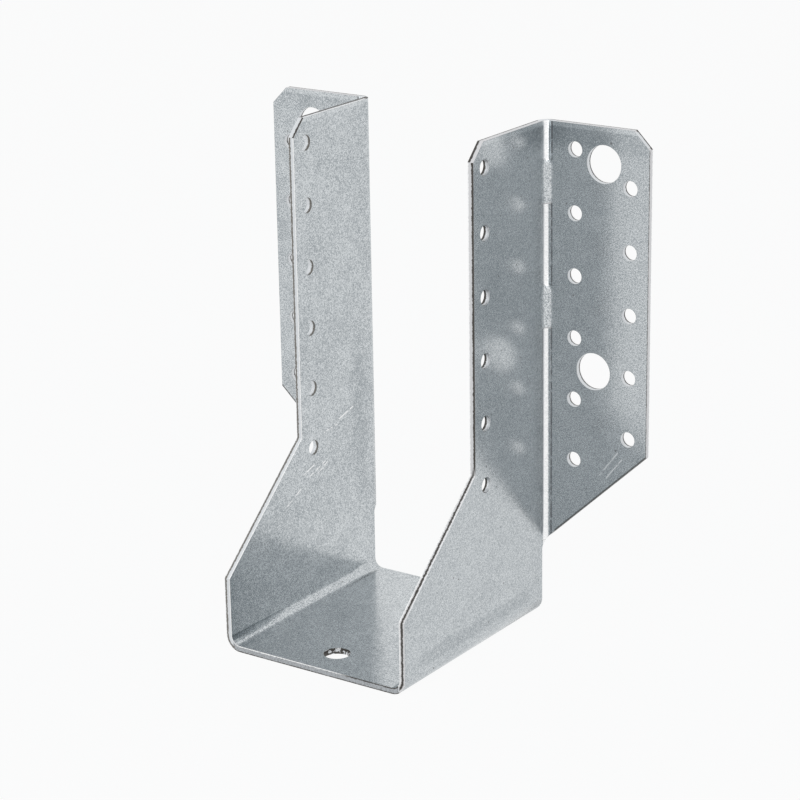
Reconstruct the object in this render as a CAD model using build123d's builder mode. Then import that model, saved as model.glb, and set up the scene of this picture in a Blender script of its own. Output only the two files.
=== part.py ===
from build123d import *
from math import cos, radians, sin, tan
import os

# Joist hanger: one sheet, cut, punched and folded four times.
# The joist lies along Y, its end at the back. X is across the joist and Z is up.
# The origin is on the underside of the seat, at the middle of the width and of the depth.

# Sheet and overall sizes
sheet = 2.0
joist_width = 64.0
height = 162.0
depth = 82.0
flange_width = 36.5

# Bends between the seat and the walls
seat_bend = 3.0

# Upright folds between the walls and the flanges
crease_bend = 1.6
crease_press = 0.1
soft_bend = 3.0
soft_back_bend = 4.6
soft_length = 14.2
soft_from_top = 19.0
soft_pitch = 40.0
soft_count = 2
flare_length = 2.2
back_fade = 4.8

# Outline of the walls, as cut in the flat sheet
nose_height = 24.0
shoulder_height = 58.8
shoulder_setback = 39.5
corner_cut = 5.4

# Outline of the flanges, as cut in the flat sheet
flange_foot_height = 59.0
taper_angle = 43.0
relief_radius = 2.5
ramp_steps = 5

# Nail holes, in rows from the top down to the lowest that the taper leaves room for
nail_hole = 5.0
nail_pitch = 20.0
nails_from_top = 8.0
lowest_nail_height = 52.0
wall_nails_from_shoulder = 6.0
inner_nails_from_wall = 10.6
outer_nails_from_edge = 6.5

# Bolt holes in the flanges and the screw hole in the seat
bolt_hole = 12.0
upper_bolt_from_top = 11.5
upper_bolt_from_edge = 15.7
lower_bolt_from_top = 77.8
lower_bolt_from_edge = 19.0
seat_hole = 8.5
seat_hole_setback = 12.0

# Places worked out from the sizes above
inner_x = joist_width / 2
outer_x = inner_x + sheet
front_y = -depth / 2
back_y = depth / 2
flange_y = back_y - sheet
crease_x = outer_x + crease_bend
crease_y = flange_y - crease_bend
crease_back_bend = crease_bend + sheet
flange_x = outer_x + flange_width
shoulder_y = front_y + shoulder_setback
seat_back_bend = seat_bend + sheet
slope = tan(radians(taper_angle))
ramp_top = flange_foot_height - slope * (flange_x - crease_x)
middle_bend = crease_bend + sheet / 2
ramp_run = middle_bend * radians(90)
corner_z = ramp_top - slope * ramp_run
round_turn = 90 - taper_angle
round_start = corner_z - relief_radius * tan(radians(round_turn / 2))
crease_foot = ramp_top - crease_bend
soft_centres = [height - soft_from_top - i * soft_pitch for i in range(soft_count)]
nail_rows = int((height - nails_from_top - lowest_nail_height) / nail_pitch) + 1
nail_z = [height - nails_from_top - row * nail_pitch for row in range(nail_rows)]
clear = 1.0


def relief_edge(step):
    """Angle round the fold and height of the cut edge there, along the relief's round and then the taper."""
    if step < ramp_steps:
        turn = radians(round_turn * step / (ramp_steps - 1))
        run = relief_radius * (1 - cos(turn))
        return run / ramp_run * 90, round_start + relief_radius * sin(turn)
    first_run = relief_radius * (1 - cos(radians(round_turn)))
    run = first_run + (ramp_run - first_run) * (step - ramp_steps + 1) / ramp_steps
    return run / ramp_run * 90, corner_z + slope * run


def fold_corners(corner, levels):
    """Sketches, one for each (height, radius), of the area between a fold's square corner and its round."""
    x, y = corner
    sections = []
    for z, radius in levels:
        with BuildSketch(Plane.XY.offset(z)) as section:
            with BuildLine():
                Line((x, y), (x, y - radius))
                RadiusArc((x, y - radius), (x + radius, y), radius)
                Line((x + radius, y), (x, y))
            make_face()
        sections.append(section.sketch)
    return sections


with BuildPart() as joist_hanger:
    # Flange and upright fold, level section
    with BuildSketch(Plane.XY.offset(round_start - clear)):
        with BuildLine():
            RadiusArc((inner_x, crease_y), (crease_x, back_y), crease_back_bend)
            Line((crease_x, back_y), (flange_x, back_y))
            Line((flange_x, back_y), (flange_x, flange_y))
            Line((flange_x, flange_y), (crease_x, flange_y))
            RadiusArc((crease_x, flange_y), (outer_x, crease_y), -crease_bend)
            Line((outer_x, crease_y), (inner_x, crease_y))
        make_face()
    extrude(amount=height - round_start + clear)

    # Taper under the flange and its cut top corner
    with BuildSketch(Plane.XZ.offset(-back_y - clear)):
        with BuildLine():
            Polyline(
                (crease_x, ramp_top),
                (flange_x, flange_foot_height),
                (flange_x + clear, flange_foot_height),
                (flange_x + clear, round_start - 2 * clear),
                (crease_x, round_start - 2 * clear),
                close=True,
            )
        make_face()
        with BuildLine():
            Polyline(
                (flange_x - corner_cut, height),
                (flange_x, height - corner_cut),
                (flange_x, height),
                close=True,
            )
        make_face()
    extrude(amount=sheet + 2 * clear, mode=Mode.SUBTRACT)

    # The taper goes on round the fold and ends in the relief at the wall
    for step in range(2 * ramp_steps):
        turn, top = relief_edge(step)
        low = round_start - 2 * clear
        across = Plane(
            origin=(crease_x, crease_y, low),
            x_dir=(-cos(radians(turn)), sin(radians(turn)), 0),
            z_dir=(sin(radians(turn)), cos(radians(turn)), 0),
        )
        with BuildSketch(across):
            with Locations((crease_bend / 2, 0)):
                Rectangle(sheet + crease_bend, top - low, align=(Align.MIN, Align.MIN))
    loft(ruled=True, mode=Mode.SUBTRACT)

    # Seat and wall, section across the joist
    with BuildSketch(Plane.XZ.offset(-crease_y)):
        with BuildLine():
            Line((0, 0), (outer_x - seat_back_bend, 0))
            RadiusArc((outer_x - seat_back_bend, 0), (outer_x, seat_back_bend), -seat_back_bend)
            Line((outer_x, seat_back_bend), (outer_x, height))
            Line((outer_x, height), (inner_x, height))
            Line((inner_x, height), (inner_x, seat_back_bend))
            RadiusArc((inner_x, seat_back_bend), (inner_x - seat_bend, sheet), seat_bend)
            Line((inner_x - seat_bend, sheet), (0, sheet))
            Line((0, sheet), (0, 0))
        make_face()
    extrude(amount=crease_y - front_y)

    # Slope and cut top corner at the front of the wall
    with BuildSketch(Plane.YZ):
        with BuildLine():
            Polyline(
                (front_y - clear, nose_height),
                (front_y, nose_height),
                (shoulder_y, shoulder_height),
                (shoulder_y, height - corner_cut),
                (shoulder_y + corner_cut, height),
                (shoulder_y + corner_cut, height + clear),
                (front_y - clear, height + clear),
                close=True,
            )
        make_face()
    extrude(amount=outer_x + clear, mode=Mode.SUBTRACT)

    # Two soft stretches in each fold: fuller inside, eased at the back
    for centre in soft_centres:
        top = centre + soft_length / 2
        low = centre - soft_length / 2
        flare = top - flare_length
        fill_levels = [(low, soft_bend), (flare, soft_bend), (top, crease_bend)]
        loft(fold_corners((outer_x, flange_y), fill_levels), ruled=True)
        ease_levels = [
            (low, crease_back_bend),
            (low + back_fade, soft_back_bend),
            (flare, soft_back_bend),
            (flare + back_fade, crease_back_bend),
        ]
        loft(fold_corners((inner_x, back_y), ease_levels), ruled=True, mode=Mode.SUBTRACT)

    # Creases pressed into the fold between the soft stretches, each with a square upper end
    crease_tops = [height + clear] + [centre - soft_length / 2 for centre in soft_centres]
    crease_lows = [centre + soft_length / 2 for centre in soft_centres] + [crease_foot]
    nose_x = crease_x - crease_press
    nose_y = crease_y + crease_press
    for top, low in zip(crease_tops, crease_lows):
        with BuildSketch(Plane.XY.offset(low)):
            with Locations((nose_x, nose_y)):
                Circle(crease_bend)
        extrude(amount=top - low, mode=Mode.SUBTRACT)

    # The other half is its mirror image
    mirror(about=Plane.YZ)

    # Nail holes in the walls
    with BuildSketch(Plane.YZ):
        with Locations([(shoulder_y + wall_nails_from_shoulder, z) for z in nail_z]):
            Circle(nail_hole / 2)
    extrude(amount=outer_x + clear, both=True, mode=Mode.SUBTRACT)

    # Nail and bolt holes in the flanges
    inner_nails = [(outer_x + inner_nails_from_wall, z) for z in nail_z]
    outer_nails = [(flange_x - outer_nails_from_edge, z - nail_pitch / 2) for z in nail_z[:-1]]
    bolts = [
        (flange_x - upper_bolt_from_edge, height - upper_bolt_from_top),
        (flange_x - lower_bolt_from_edge, height - lower_bolt_from_top),
    ]
    with BuildSketch(Plane.XZ.offset(-back_y - clear)):
        for side in (1, -1):
            with Locations([(side * x, z) for x, z in inner_nails + outer_nails]):
                Circle(nail_hole / 2)
            with Locations([(side * x, z) for x, z in bolts]):
                Circle(bolt_hole / 2)
    extrude(amount=sheet + 2 * clear, mode=Mode.SUBTRACT)

    # Screw hole in the seat
    with Locations(Location((0, front_y + seat_hole_setback, sheet))):
        Hole(seat_hole / 2)

joist_hanger.part.label = "joist_hanger"
os.makedirs("parts", exist_ok=True)
export_step(joist_hanger.part, "parts/joist_hanger.step")
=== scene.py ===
"""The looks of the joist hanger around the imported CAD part: galvanised steel, studio light, floor and camera.

Lengths in the shader are in millimetres in the row frame, taken from the object's own coordinates.
"""
import math

import bpy
from mathutils import Matrix, Vector

# The sheet, as the CAD part has it, in millimetres
WALL_INNER = 32.0
SHEET = 2.0
WALL_OUTER = WALL_INNER + SHEET
SEAT_BEND = 3.0
BEND_X = WALL_INNER - SEAT_BEND
BEND_Z = SHEET + SEAT_BEND
WALL_BACK = 37.4
CREASE_EDGE = 36.1
SHOULDER_HEIGHT = 58.8

FLANGE_BACK = 41.0
FLANGE_FRONT = FLANGE_BACK - SHEET
FLANGE_EDGE = 70.5
FLANGE_FOOT = 59.0
TAPER_ANGLE = 43.0

# The top of the relief, and the height above which edges count as upper ones
RELIEF_TOP = 24.0
UPPER_EDGES = 155.0

# Where a cut face lies in a hole and isn't an outer edge: low and high ends, or the high end alone
WALL_HOLES_Y = (1.8, 7.2)
WALL_HOLES_Z = (40.0, 156.55)
FLANGE_HOLES_SIDE = 69.9
FLANGE_HOLES_Z = 161.5
SEAT_HOLE_SIDE = 6.0
SEAT_HOLE_Y = (-38.0, 0.0)

# Heights of the soft stretches of the upright folds, and of the painted shade line at the foot of each, where a
# crease's end steps
SOFT_STRETCHES = ((136.2, 149.8), (96.2, 109.8))
SHADED_SOFT_FEET = ((135.9, 136.3), (95.9, 96.3))

# The rolled strip along the top edges, painted lighter as a highlight of its rounded rim, and the duller band
# under it
TOP_HIGHLIGHT_FOOT = (160.4, 160.9)
DULL_BAND_Y = (10.0, 34.0)
DULL_BAND_Z = (152.0, 157.0, 160.2, 160.7)

# The press-tool band low on the outer walls, the darker speckled strip on the left wall, and the rougher outer
# walls
TOOL_BAND_Y = (-33.0, 29.0)
TOOL_BAND_Z = (6.6, 10.8)
DARKER_STRIP_Y = (27.0, 33.5)
DARKER_STRIP_Z = (34.0, 84.0)
ROUGHER_Y = (27.0, 34.0)

# Wear seen in the photo: places in the row frame, in millimetres
# Fine scratches on the left wall's inner face: y and z of both ends
WALL_SCRATCHES = (
    (10.5, 57.5, 17.5, 58.2),
    (17.8, 59.5, 26.5, 61.8),
    (-2.5, 46.0, 5.5, 48.4),
    (2.0, 44.8, 10.5, 47.6),
    (-12.0, 37.6, -3.0, 42.0),
    (6.5, 44.6, 11.5, 47.0),
)
# Fine scratches on the right flange's front face: x and z of both ends
FLANGE_SCRATCHES = (
    (54.0, 50.5, 60.5, 59.0),
    (56.5, 50.0, 62.0, 57.0),
)

# Colours of the zinc, from dark to light, and of the marks on it; the creases' colour is partly a painted
# highlight, and the rim, taper, crease and cap lines are painted shade
ZINC = ((0.32, 0.35, 0.37), (0.69, 0.72, 0.735))
# The creases: pressed zinc, lightened further as a painted highlight
PRESSED_AND_HIGHLIGHT = ((0.84, 0.85, 0.86), (0.99, 0.99, 0.99))
SCRATCH = (0.95, 0.95, 0.95)
SOFT_SPECKLE = (0.92, 0.92, 0.92)
PIT = (0.16, 0.16, 0.16)
RIM_SHADE = (0.22, 0.21, 0.20)
TAPER_SHADE = (0.11, 0.105, 0.10)
CREASE_SHADE = (0.15, 0.15, 0.16)
CAP_SHADE = (0.18, 0.18, 0.19)

# Colours of the cut edges: burnished, cool and warm; along the seat's front; the lip, partly a painted
# highlight; and torn, also used as painted shade on edges that face down
BURNISHED = ((0.70, 0.72, 0.74), (0.66, 0.66, 0.67))
SEAT_FRONT = ((0.28, 0.29, 0.30), (0.46, 0.48, 0.50))
LIP_AND_HIGHLIGHT = (0.93, 0.93, 0.93)
TORN_AND_SHADED = ((0.085, 0.08, 0.075), (0.21, 0.20, 0.185))
EDGE_ROUGHNESS = 0.45

# The eased edges of the shown mesh, in metres and degrees
WELD = 0.000002
EASE = 0.00014
EASE_ANGLE = 40.0
RIM_REACH = 0.00028

# The surround: its colours low down, overhead and behind the left side, where it glows
SURROUND = ((0.75, 0.83, 0.87), (0.16, 0.17, 0.18))
GLOW = (0.89, 0.95, 0.99)
GLOW_TOWARDS = (-0.572, 0.820)

# The camera, in metres and degrees
CAMERA_AT = (0.447153, -0.633997, 0.331728)
CAMERA_YAW = 34.875
CAMERA_PITCH = 18.187
CAMERA_ROLL = -0.962
LENS = 118.14
SENSOR = 36.0

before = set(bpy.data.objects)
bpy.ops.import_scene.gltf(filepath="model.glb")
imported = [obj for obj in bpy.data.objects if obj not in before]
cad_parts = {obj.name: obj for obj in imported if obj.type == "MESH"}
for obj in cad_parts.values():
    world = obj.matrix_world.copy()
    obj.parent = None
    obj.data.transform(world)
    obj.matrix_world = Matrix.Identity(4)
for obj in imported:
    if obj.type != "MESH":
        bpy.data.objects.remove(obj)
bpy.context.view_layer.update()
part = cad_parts["joist_hanger"]


class Graph:
    """Short names for making and linking the nodes of one tree."""

    def __init__(self, tree):
        self.tree = tree
        self.tree.nodes.clear()

    def put(self, socket, value):
        if isinstance(value, bpy.types.NodeSocket):
            self.tree.links.new(value, socket)
        elif isinstance(value, tuple) and len(socket.default_value) == len(value) + 1:
            socket.default_value = (*value, 1.0)
        else:
            socket.default_value = value

    def node(self, kind, settings=None, **inputs):
        made = self.tree.nodes.new(kind)
        for name, value in (settings or {}).items():
            setattr(made, name, value)
        for name, value in inputs.items():
            self.put(made.inputs[name.replace("_", " ")], value)
        return made

    def math(self, operation, *values):
        made = self.tree.nodes.new("ShaderNodeMath")
        made.operation = operation
        for socket, value in zip(made.inputs, values):
            self.put(socket, value)
        return made.outputs[0]

    def add(self, a, b):
        return self.math("ADD", a, b)

    def sub(self, a, b):
        return self.math("SUBTRACT", a, b)

    def mul(self, a, b):
        return self.math("MULTIPLY", a, b)

    def above(self, value, limit):
        return self.math("GREATER_THAN", value, limit)

    def below(self, value, limit):
        return self.math("LESS_THAN", value, limit)

    def inside(self, value, low, high):
        """1 between low and high, 0 elsewhere."""
        return self.mul(self.above(value, low), self.below(value, high))

    def rest(self, mask):
        """What a mask leaves out."""
        return self.sub(1.0, mask)

    def step(self, value, low, high):
        """0 below low, 1 above high and smooth between them; the other way round if low is above high."""
        made = self.node("ShaderNodeMapRange", {"interpolation_type": "SMOOTHSTEP", "clamp": False})
        rising = low < high
        ends = (low, high, 0.0, 1.0) if rising else (high, low, 1.0, 0.0)
        self.put(made.inputs["Value"], value)
        for name, end in zip(("From Min", "From Max", "To Min", "To Max"), ends):
            made.inputs[name].default_value = end
        return made.outputs["Result"]

    def band(self, value, low, high, soft):
        """1 between low and high, falling to 0 over soft on both sides."""
        rise = self.step(value, low - soft, low + soft)
        fall = self.step(value, high + soft, high - soft)
        return self.mul(rise, fall)

    def noise(self, vector, size, detail=2.0, roughness=0.5, seed=0.0):
        """Noise from 0 to 1 with features of about size millimetres."""
        made = self.node("ShaderNodeTexNoise", {"noise_dimensions": "4D"}, Vector=vector)
        made.inputs["W"].default_value = seed
        made.inputs["Scale"].default_value = 1.0 / size
        made.inputs["Detail"].default_value = detail
        made.inputs["Roughness"].default_value = roughness
        return made.outputs["Fac"]

    def cells(self, vector, size):
        """Cells of about size millimetres, each with a chance colour and the distance from its middle."""
        made = self.node("ShaderNodeTexVoronoi", {"feature": "F1"}, Vector=vector)
        made.inputs["Scale"].default_value = 1.0 / size
        return made.outputs

    def mix(self, factor, a, b):
        """Colour a at factor 0, b at factor 1."""
        made = self.node("ShaderNodeMix", {"data_type": "RGBA"})
        self.put(made.inputs[0], factor)
        self.put(made.inputs[6], a)
        self.put(made.inputs[7], b)
        return made.outputs[2]

    def blend(self, factor, a, b):
        """Number a at factor 0, b at factor 1."""
        made = self.node("ShaderNodeMix", {"data_type": "FLOAT"})
        self.put(made.inputs[0], factor)
        self.put(made.inputs[2], a)
        self.put(made.inputs[3], b)
        return made.outputs[0]

    def red(self, colour):
        return self.node("ShaderNodeSeparateColor", Color=colour).outputs[0]

    def vector(self, operation, a, b):
        made = self.tree.nodes.new("ShaderNodeVectorMath")
        made.operation = operation
        self.put(made.inputs[0], a)
        self.put(made.inputs[1], b)
        return made.outputs


def stroke(g, a, b, ends, width):
    """1 along the line between two ends on the plane of a and b, 0 beyond its width."""
    a0, b0, a1, b1 = ends
    ra, rb = a1 - a0, b1 - b0
    da = g.sub(a, a0)
    db = g.sub(b, b0)
    along = g.add(g.mul(da, ra), g.mul(db, rb))
    along = g.math("DIVIDE", along, ra * ra + rb * rb)
    along = g.math("MINIMUM", g.math("MAXIMUM", along, 0.0), 1.0)
    off_a = g.sub(da, g.mul(along, ra))
    off_b = g.sub(db, g.mul(along, rb))
    away = g.math("SQRT", g.add(g.mul(off_a, off_a), g.mul(off_b, off_b)))
    return g.step(away, width, width * 0.3)


def total(g, values):
    """The largest of several masks."""
    result = values[0]
    for value in values[1:]:
        result = g.math("MAXIMUM", result, value)
    return result


class Sheet:
    """Where a shaded point lies on the folded sheet: lengths in millimetres, and masks from 0 to 1."""

    def __init__(self, g):
        where = g.node("ShaderNodeTexCoord").outputs["Object"]
        self.place = g.vector("MULTIPLY", where, (1000.0, 1000.0, 1000.0))[0]
        self.x, self.y, self.z = g.node("ShaderNodeSeparateXYZ", Vector=self.place).outputs
        self.side = g.math("ABSOLUTE", self.x)
        self.normal = g.node("ShaderNodeNewGeometry").outputs["True Normal"]
        across, along, self.nz = g.node("ShaderNodeSeparateXYZ", Vector=self.normal).outputs
        self.nx = g.mul(across, g.math("SIGN", self.x))
        self.ny = g.math("ABSOLUTE", along)
        self.frontward = g.mul(along, -1.0)
        self.find_depth(g)
        self.find_faces(g)
        self.find_edges(g)
        self.find_holes(g)

    def find_depth(self, g):
        """How deep the point lies in the sheet, 0 on the joist's side and 1 outside, and if it is cut."""
        across = g.math("MAXIMUM", g.sub(self.side, BEND_X), 0.0)
        down = g.math("MAXIMUM", g.sub(BEND_Z, self.z), 0.0)
        reach = g.math("SQRT", g.add(g.mul(across, across), g.mul(down, down)))
        reach = g.math("MAXIMUM", reach, 0.001)
        self.trough_depth = g.math("DIVIDE", g.sub(reach, SEAT_BEND), SHEET)
        facing = g.math("DIVIDE", g.sub(g.mul(self.nx, across), g.mul(self.nz, down)), reach)
        trough_cut = g.step(g.math("ABSOLUTE", facing), 0.75, 0.5)

        # The same for the flanges and for the upright folds
        flange_depth = g.math("DIVIDE", g.sub(FLANGE_BACK, self.y), SHEET)
        flange_cut = g.step(self.ny, 0.75, 0.5)
        fold_cut = g.step(g.math("ABSOLUTE", self.nz), 0.6, 0.85)
        beyond_wall = g.above(self.side, WALL_OUTER + 0.05)
        behind_wall = g.above(self.y, WALL_BACK - 0.05)
        in_fold = g.math("MAXIMUM", beyond_wall, g.mul(behind_wall, g.above(self.z, RELIEF_TOP)))
        self.in_flange = g.above(self.side, WALL_OUTER + 3.0)
        self.cut = g.blend(self.in_flange, g.blend(in_fold, trough_cut, fold_cut), flange_cut)
        self.depth = g.blend(in_fold, self.trough_depth, flange_depth)

    def find_faces(self, g):
        """The faces, and how far a point lies above the flange's slanted foot."""
        self.ahead_of_flange = g.below(self.y, FLANGE_FRONT + 0.3)
        self.flange_face = g.mul(self.in_flange, self.ahead_of_flange)
        self.on_wall = g.below(self.side, WALL_OUTER + 0.1)
        self.outer_wall = g.mul(g.above(self.trough_depth, 0.8), self.on_wall)
        self.left_part = g.below(self.x, -WALL_INNER + 3.1)
        self.left_inside = g.mul(self.left_part, g.above(self.x, -WALL_INNER - 0.1))
        slope = math.radians(TAPER_ANGLE)
        up_taper = g.mul(g.sub(self.z, FLANGE_FOOT), math.cos(slope))
        self.above_taper = g.sub(up_taper, g.mul(g.sub(self.side, FLANGE_EDGE), math.sin(slope)))

    def find_edges(self, g):
        """The edges of each wall, and all those that face up near the top."""
        right_wall = g.mul(g.above(self.x, WALL_INNER - 0.2), g.below(self.side, WALL_OUTER + 0.2))
        self.right_wall = g.mul(right_wall, g.below(self.y, WALL_BACK - 0.5))
        self.left_wall = g.inside(self.x, -WALL_OUTER - 0.2, -WALL_INNER + 1.0)
        self.upper = g.mul(g.above(self.z, UPPER_EDGES), g.above(self.nz, 0.3))

    def find_holes(self, g):
        """The cut faces in the holes of the flanges, the walls and the seat, and the seat's front edge."""
        flange_hole = g.mul(g.below(self.side, FLANGE_HOLES_SIDE), g.below(self.z, FLANGE_HOLES_Z))
        flange_hole = g.mul(g.mul(self.in_flange, flange_hole), g.above(self.above_taper, 0.5))
        wall_hole = g.mul(g.inside(self.y, *WALL_HOLES_Y), g.inside(self.z, *WALL_HOLES_Z))
        wall_hole = g.mul(wall_hole, g.below(self.nz, 0.99))
        self.wall_hole = g.mul(wall_hole, g.below(self.side, WALL_OUTER + 0.2))
        self.hole = g.math("MAXIMUM", flange_hole, self.wall_hole)
        self.seat_hole = g.mul(g.below(self.side, SEAT_HOLE_SIDE), g.inside(self.y, *SEAT_HOLE_Y))
        seat_front = g.mul(g.below(self.side, WALL_INNER - 0.5), g.below(self.z, 3.0))
        self.seat_front = g.mul(seat_front, g.rest(self.seat_hole))


class Patterns:
    """The chance patterns that more than one part of the steel uses."""

    def __init__(self, g, place):
        self.spangle = g.red(g.cells(place, 1.3)["Color"])
        self.grain = g.noise(place, 0.62, detail=2.0, roughness=0.8)
        self.mottle = g.noise(place, 5.0, detail=3.0, roughness=0.6, seed=1.0)
        self.specks = g.step(g.noise(place, 1.1, detail=2.0, roughness=0.7, seed=5.0), 0.50, 0.60)
        self.near_line = g.noise(place, 1.2, detail=2.0, roughness=0.6, seed=9.0)
        pits = g.cells(place, 2.6)
        pit_size = g.mul(g.step(g.red(pits["Color"]), 0.93, 1.0), 0.15)
        self.pit = g.below(pits["Distance"], pit_size)


def zinc_tone(g, sheet, patterns):
    """Light and dark of the plain zinc about 0, quieter on the outer faces of the walls."""
    fine = g.noise(sheet.place, 0.30, detail=1.0, roughness=0.6, seed=3.0)
    patchy = g.noise(sheet.place, 9.0, detail=3.0, roughness=0.6, seed=12.0)
    blotch = g.noise(sheet.place, 2.4, detail=2.0, roughness=0.6, seed=11.0)
    cloud = g.noise(sheet.place, 30.0, detail=2.0, roughness=0.5, seed=2.0)

    tone = g.mul(g.sub(patterns.spangle, 0.5), 0.16)
    for pattern, amount in ((patterns.grain, 2.5), (fine, 4.4), (patterns.mottle, 0.45)):
        tone = g.add(tone, g.mul(g.sub(pattern, 0.5), amount))
    patchy = g.mul(g.sub(patchy, 0.5), sheet.left_part)
    tone = g.add(tone, g.mul(patchy, 0.75))
    on_seat = g.mul(g.below(sheet.z, SHEET + 0.3), g.below(sheet.side, BEND_X))
    blotch = g.mul(g.sub(blotch, 0.5), on_seat)
    tone = g.add(tone, g.mul(blotch, g.mul(g.step(sheet.x, -14.0, 6.0), 0.9)))

    far_flange = g.mul(g.below(sheet.x, -WALL_OUTER - 3.0), sheet.ahead_of_flange)
    liveliness = g.blend(sheet.outer_wall, 1.0, 0.62)
    tone = g.mul(tone, g.add(liveliness, g.mul(far_flange, 0.7)))
    return g.add(tone, g.mul(g.sub(cloud, 0.5), 0.30))


def worn_and_highlit_tone(g, sheet, patterns, tone):
    """The tone with the marks that rolling, pressing and handling left on it, a painted highlight along the top
    edges, and a darker strip on the left wall.
    """
    # Rolled strip along the top edges, painted lighter as a highlight of its rounded rim, with a duller band
    # under it
    band_low, band_full, band_end, band_top = DULL_BAND_Z
    under_strip = g.mul(g.step(sheet.z, band_low, band_full), g.step(sheet.z, band_top, band_end))
    under_strip = g.mul(under_strip, g.mul(g.step(sheet.y, *DULL_BAND_Y), g.rest(sheet.left_inside)))
    tone = g.add(tone, g.mul(g.step(sheet.z, *TOP_HIGHLIGHT_FOOT), 0.30))
    tone = g.sub(tone, g.mul(under_strip, g.add(0.20, g.mul(patterns.specks, 0.36))))

    # Press-tool band low on the outer walls
    band_edge = g.add(sheet.z, g.mul(g.sub(patterns.mottle, 0.5), 4.0))
    tool_band = g.mul(g.band(band_edge, *TOOL_BAND_Z, 0.5), g.band(sheet.y, *TOOL_BAND_Y, 1.5))
    tool_band = g.mul(tool_band, g.above(sheet.side, WALL_OUTER - 0.3))
    tone = g.sub(tone, g.mul(tool_band, g.add(0.06, g.mul(patterns.mottle, 0.26))))

    # Darker speckled strip on the left wall beside its fold
    strip = g.mul(g.band(sheet.y, *DARKER_STRIP_Y, 2.5), g.band(sheet.z, *DARKER_STRIP_Z, 14.0))
    strip = g.mul(strip, sheet.left_inside)
    return g.sub(tone, g.mul(strip, g.add(0.22, g.mul(patterns.specks, 0.30))))


def scratches(g, sheet):
    """1 along the fine scratches, broken into dashes."""
    dashes = g.step(g.noise(sheet.place, 2.2, detail=2.0, roughness=0.6, seed=8.0), 0.42, 0.52)
    wall_lines = [stroke(g, sheet.y, sheet.z, ends, 0.34) for ends in WALL_SCRATCHES]
    flange_lines = [stroke(g, sheet.x, sheet.z, ends, 0.30) for ends in FLANGE_SCRATCHES]
    scratch = g.mul(total(g, wall_lines), sheet.left_inside)
    scratch = g.add(scratch, g.mul(total(g, flange_lines), sheet.flange_face))
    return g.mul(scratch, dashes)


def rims(g, sheet):
    """1 along the rims of the sheet, where a rounded normal turns away from the face: the painted shade of the
    rounded rims.
    """
    rounded = g.node("ShaderNodeBevel", {"samples": 4}, Radius=RIM_REACH).outputs["Normal"]
    return g.step(g.vector("DOT_PRODUCT", rounded, sheet.normal)["Value"], 0.985, 0.90)


def pressed_folds_with_painted_light(g, sheet, patterns, zinc):
    """Creases pressed bright along the upright folds, their brightness partly a painted highlight, with painted
    shade beside the flange and at the creases' ends; the soft stretches between.
    """
    diagonal = g.mul(g.step(sheet.nx, 0.12, 0.35), g.step(sheet.frontward, 0.12, 0.35))
    fold_zone = g.mul(g.below(sheet.side, 40.0), sheet.ahead_of_flange)
    fold_zone = g.mul(fold_zone, g.above(sheet.side, WALL_OUTER - 0.3))
    soft = total(g, [g.band(sheet.z, low, high, 0.3) for low, high in SOFT_STRETCHES])
    pressed = g.rest(soft)
    crease = g.mul(g.mul(diagonal, fold_zone), pressed)
    soft_fold = g.mul(g.mul(diagonal, fold_zone), soft)

    # Painted shade: a dark line beside the flange, where the pressed crease steps down
    crease_shade_line = g.mul(g.band(sheet.side, CREASE_EDGE - 0.10, CREASE_EDGE + 0.50, 0.12), pressed)
    crease_shade_line = g.mul(crease_shade_line, g.band(sheet.y, FLANGE_FRONT - 0.5, FLANGE_FRONT + 0.3, 0.1))
    crease_shade_line = g.mul(crease_shade_line, g.step(patterns.near_line, 0.34, 0.50))
    # Painted shade at the ends of the pressed creases, where their end steps lie
    cap_shade = total(g, [g.band(sheet.z, low, high, 0.12) for low, high in SHADED_SOFT_FEET])
    cap_shade = g.mul(cap_shade, fold_zone)
    cap_shade = g.mul(cap_shade, g.below(sheet.side, CREASE_EDGE + 0.4))
    cap_shade = g.mul(cap_shade, g.above(sheet.y, WALL_BACK - 0.4))

    pressed_and_highlight_tone = g.mix(g.step(patterns.grain, 0.30, 0.62), *PRESSED_AND_HIGHLIGHT)
    speckle = g.mul(g.step(patterns.grain, 0.38, 0.60), 0.16)
    zinc = g.mix(g.mul(soft_fold, speckle), zinc, SOFT_SPECKLE)
    # The creases: pressed zinc, lightened further as a painted highlight
    zinc = g.mix(g.mul(crease, 0.95), zinc, pressed_and_highlight_tone)
    zinc = g.mix(g.mul(crease_shade_line, 0.78), zinc, CREASE_SHADE)
    return g.mix(g.mul(cap_shade, 0.55), zinc, CAP_SHADE)


def zinc_colour(g, sheet, patterns):
    """The zinc with its marks, scratches and pits, and painted shade that makes it darker along the taper and
    the rims.
    """
    tone = worn_and_highlit_tone(g, sheet, patterns, zinc_tone(g, sheet, patterns))
    zinc = g.mix(g.add(tone, 0.5), *ZINC)
    zinc = g.mix(g.mul(scratches(g, sheet), 0.85), zinc, SCRATCH)
    zinc = g.mix(g.mul(patterns.pit, 0.7), zinc, PIT)
    # Painted shade: a dark line along the taper's lower edge, where the underside reflects the shaded floor
    beyond_crease = g.above(sheet.side, CREASE_EDGE + 1.5)
    taper_shade = g.mul(g.step(sheet.above_taper, 0.62, 0.30), beyond_crease)
    zinc = g.mix(g.mul(taper_shade, 0.80), zinc, TAPER_SHADE)
    # Painted shade along the rounded rims
    zinc = g.mix(g.mul(rims(g, sheet), 0.55), zinc, RIM_SHADE)
    return pressed_folds_with_painted_light(g, sheet, patterns, zinc)


def zinc_roughness(g, sheet, patterns):
    """Uneven with the mottling, and duller on the outer walls towards the fold."""
    rough = g.add(0.15, g.mul(patterns.mottle, 0.12))
    by_fold = g.mul(g.step(sheet.y, *ROUGHER_Y), sheet.outer_wall)
    return g.add(rough, g.mul(by_fold, 0.12))


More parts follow.
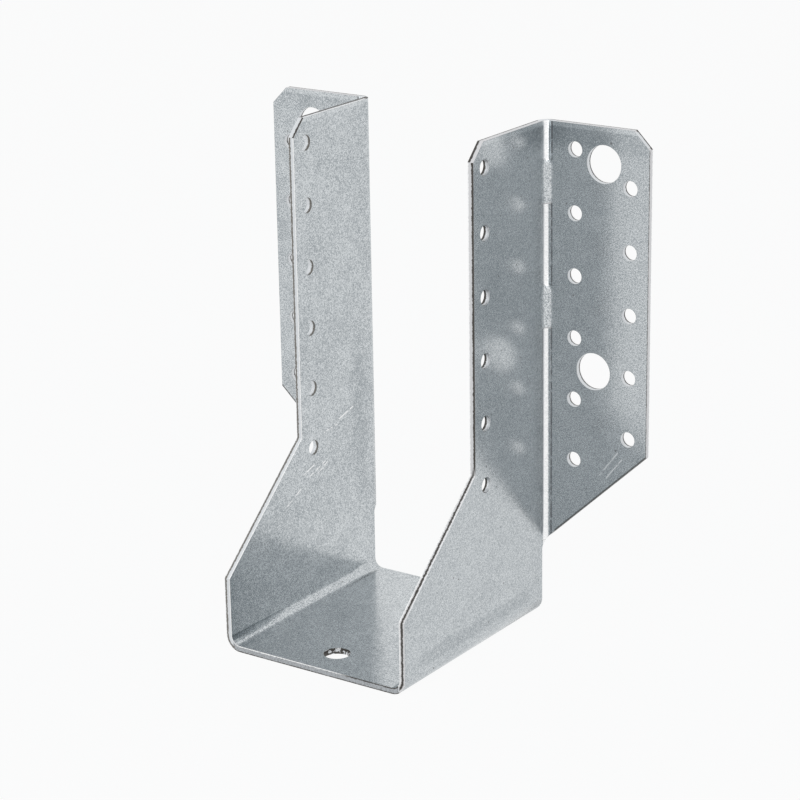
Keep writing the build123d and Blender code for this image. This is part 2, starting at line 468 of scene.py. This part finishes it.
def torn_and_shaded_part(g, sheet, patterns, depth):
    """1 where a cut edge is torn and dark, and where an edge facing down is painted dark as shade; 0 where it
    is burnished, by the depth in the sheet.
    """
    upright = g.step(sheet.z, SHOULDER_HEIGHT - 1.0, SHOULDER_HEIGHT + 3.0)
    torn = g.step(depth, 0.80, 0.90)
    torn = g.blend(sheet.left_wall, torn, g.band(depth, 0.62, 0.94, 0.05))
    right_torn = g.blend(upright, g.band(depth, 0.34, 0.72, 0.05), g.step(depth, 0.58, 0.68))
    torn = g.blend(sheet.right_wall, torn, right_torn)

    # Along the top: dark away from the faces, with the cut corners darker than the level edges
    level_edge = g.above(sheet.nz, 0.9)
    corner_torn = g.blend(sheet.left_wall, g.step(depth, 0.48, 0.36), g.step(depth, 0.38, 0.28))
    upper_torn = g.blend(level_edge, corner_torn, g.step(depth, 0.30, 0.18))
    upper_torn = g.blend(g.mul(sheet.left_wall, level_edge), upper_torn, g.step(depth, 0.40, 0.52))
    torn = g.blend(sheet.upper, torn, upper_torn)

    # In the holes: dark only where the punch broke through
    hole_torn = g.blend(sheet.wall_hole, g.step(depth, 0.34, 0.22), g.step(depth, 0.44, 0.34))
    torn = g.blend(sheet.hole, torn, hole_torn)
    torn = g.blend(sheet.seat_hole, torn, g.step(patterns.near_line, 0.56, 0.50))

    # Painted shade on edges that face down, and dark in a line along the right part of the seat's front edge
    shaded_underside = g.mul(g.step(sheet.nz, -0.25, -0.45), g.rest(sheet.hole))
    front_line = g.mul(g.mul(sheet.seat_front, g.step(sheet.x, 8.0, 14.0)), g.step(depth, 0.24, 0.14))
    return g.math("MAXIMUM", g.math("MAXIMUM", torn, shaded_underside), front_line)


def edge_colour(g, sheet, patterns):
    """The sheared edges, burnished or torn, with painted shade on those facing down, and a bright lip at the
    joist's side that is partly a painted highlight.
    """
    ragged = g.noise(sheet.place, 0.55, detail=3.0, roughness=0.7, seed=7.0)
    depth = g.add(sheet.depth, g.mul(g.sub(ragged, 0.5), 0.55))
    warm = g.mul(g.math("MAXIMUM", sheet.right_wall, sheet.in_flange), g.rest(sheet.hole))
    bright = g.mix(warm, *BURNISHED)
    front_tone = g.mix(g.step(patterns.grain, 0.30, 0.62), *SEAT_FRONT)
    bright = g.mix(sheet.seat_front, bright, front_tone)
    # The lip: burnished, and lightened further as a painted highlight of its rounded corner
    bright = g.mix(g.step(depth, 0.20, 0.06), bright, LIP_AND_HIGHLIGHT)
    dark_cut = g.mix(g.mul(sheet.left_wall, g.rest(sheet.upper)), *TORN_AND_SHADED)
    return g.mix(torn_and_shaded_part(g, sheet, patterns, depth), bright, dark_cut)


def uneven_normal(g, patterns):
    """The slight unevenness of the surface."""
    height = g.add(g.mul(patterns.grain, 0.006), g.mul(patterns.mottle, 0.012))
    height = g.add(height, g.mul(patterns.spangle, 0.0006))
    height = g.sub(height, g.mul(patterns.pit, 0.006))
    bump = g.node("ShaderNodeBump", Height=height)
    bump.inputs["Strength"].default_value = 1.0
    bump.inputs["Distance"].default_value = 0.001
    return bump.outputs["Normal"]


def galvanised_steel():
    """Zinc-coated steel sheet with fine spangle, and bright, partly torn cut edges."""
    material = bpy.data.materials.new("galvanised_steel")
    material.use_nodes = True
    g = Graph(material.node_tree)
    sheet = Sheet(g)
    patterns = Patterns(g, sheet.place)
    colour = g.mix(sheet.cut, zinc_colour(g, sheet, patterns), edge_colour(g, sheet, patterns))
    rough = g.blend(sheet.cut, zinc_roughness(g, sheet, patterns), EDGE_ROUGHNESS)
    shader = g.node("ShaderNodeBsdfPrincipled", Base_Color=colour, Roughness=rough)
    shader.inputs["Metallic"].default_value = 1.0
    g.put(shader.inputs["Normal"], uneven_normal(g, patterns))
    g.node("ShaderNodeOutputMaterial", Surface=shader.outputs[0])
    return material


def shown_white(g):
    """1 for the camera and for what metal or glass shows, 0 for the light that falls on things."""
    path = g.node("ShaderNodeLightPath").outputs
    seen = g.math("MAXIMUM", path["Is Camera Ray"], path["Is Glossy Ray"])
    return g.math("MAXIMUM", seen, path["Is Transmission Ray"])


def pale_floor():
    """A plain white floor, shown to the camera and in the metal, with the object's soft shadow on it."""
    material = bpy.data.materials.new("pale_floor")
    material.use_nodes = True
    g = Graph(material.node_tree)
    matt = g.node("ShaderNodeBsdfDiffuse", Color=(0.86, 0.86, 0.86))
    white = g.node("ShaderNodeEmission", Color=(1.0, 1.0, 1.0))
    share = g.mul(shown_white(g), 0.93)
    mixed = g.node("ShaderNodeMixShader")
    g.put(mixed.inputs[0], share)
    g.put(mixed.inputs[1], matt.outputs[0])
    g.put(mixed.inputs[2], white.outputs[0])
    g.node("ShaderNodeOutputMaterial", Surface=mixed.outputs[0])
    return material


def studio_world():
    """A pale cool surround that lights the floor, and white where the camera or the metal sees it."""
    world = bpy.data.worlds.new("studio")
    world.use_nodes = True
    g = Graph(world.node_tree)
    direction = g.node("ShaderNodeTexCoord").outputs["Generated"]
    x, y, height = g.node("ShaderNodeSeparateXYZ", Vector=direction).outputs
    tint = g.mix(g.step(height, 0.35, 0.90), *SURROUND)
    back_left = g.add(g.mul(x, GLOW_TOWARDS[0]), g.mul(y, GLOW_TOWARDS[1]))
    glow = g.mul(g.step(back_left, 0.45, 0.90), g.step(height, 0.55, 0.30))
    tint = g.mix(glow, tint, GLOW)
    surround = g.node("ShaderNodeBackground", Color=tint)
    surround.inputs["Strength"].default_value = 1.0
    white = g.node("ShaderNodeBackground", Color=(1.0, 1.0, 1.0))
    mixed = g.node("ShaderNodeMixShader")
    g.put(mixed.inputs[0], shown_white(g))
    g.put(mixed.inputs[1], surround.outputs[0])
    g.put(mixed.inputs[2], white.outputs[0])
    g.node("ShaderNodeOutputWorld", Surface=mixed.outputs[0])
    bpy.context.scene.world = world


def soft_lamp(name, at, aim, size, power, colour):
    """A square lamp, in metres and watts, turned to where it aims and unseen by the camera."""
    data = bpy.data.lights.new(name, "AREA")
    data.shape = "SQUARE"
    data.size = size
    data.energy = power
    data.color = colour
    lamp = bpy.data.objects.new(name, data)
    lamp.location = at
    lamp.rotation_mode = "QUATERNION"
    lamp.rotation_quaternion = (Vector(aim) - Vector(at)).to_track_quat("-Z", "Y")
    lamp.visible_camera = False
    bpy.context.scene.collection.objects.link(lamp)
    return lamp


def photo_camera():
    """The camera at the photo's viewing angle, without lens shift."""
    yaw, pitch, roll = (math.radians(a) for a in (CAMERA_YAW, CAMERA_PITCH, CAMERA_ROLL))
    ahead = Vector((-math.sin(yaw) * math.cos(pitch), math.cos(yaw) * math.cos(pitch), -math.sin(pitch)))
    right = Vector((math.cos(yaw), math.sin(yaw), 0.0))
    up = right.cross(ahead)
    turned_right = math.cos(roll) * right + math.sin(roll) * up
    turned_up = -math.sin(roll) * right + math.cos(roll) * up
    data = bpy.data.cameras.new("camera")
    data.lens = LENS
    data.sensor_width = SENSOR
    data.clip_start = 0.01
    data.clip_end = 50.0
    camera = bpy.data.objects.new("camera", data)
    axes = Matrix((turned_right, turned_up, -ahead)).transposed()
    camera.matrix_world = Matrix.Translation(Vector(CAMERA_AT)) @ axes.to_4x4()
    bpy.context.scene.collection.objects.link(camera)
    bpy.context.scene.camera = camera


# The part: its edges eased a little, and its steel
steel = galvanised_steel()
part.data.materials.clear()
part.data.materials.append(steel)
weld = part.modifiers.new("weld", "WELD")
weld.merge_threshold = WELD
ease = part.modifiers.new("ease", "BEVEL")
ease.width = EASE
ease.segments = 2
ease.limit_method = "ANGLE"
ease.angle_limit = math.radians(EASE_ANGLE)
ease.use_clamp_overlap = True

# The floor
bpy.ops.mesh.primitive_plane_add(size=12.0, location=(0.0, 0.0, 0.0))
floor = bpy.context.object
floor.name = "floor"
floor.data.materials.append(pale_floor())

# The light
studio_world()
soft_lamp("key_softbox", at=(-0.70, -2.00, 2.10), aim=(0.0, 0.0, 0.05),
          size=1.60, power=2.5, colour=(0.95, 0.97, 1.0))
soft_lamp("side_softbox", at=(0.84, -1.00, 1.20), aim=(0.12, -0.15, 0.0),
          size=1.20, power=5.0, colour=(0.92, 0.97, 1.0))
soft_lamp("front_softbox", at=(-0.25, -1.90, 0.95), aim=(0.0, 0.0, 0.08),
          size=1.70, power=4.0, colour=(0.94, 0.98, 1.0))

# The camera and the colour settings
photo_camera()
bpy.context.scene.view_settings.view_transform = "Standard"
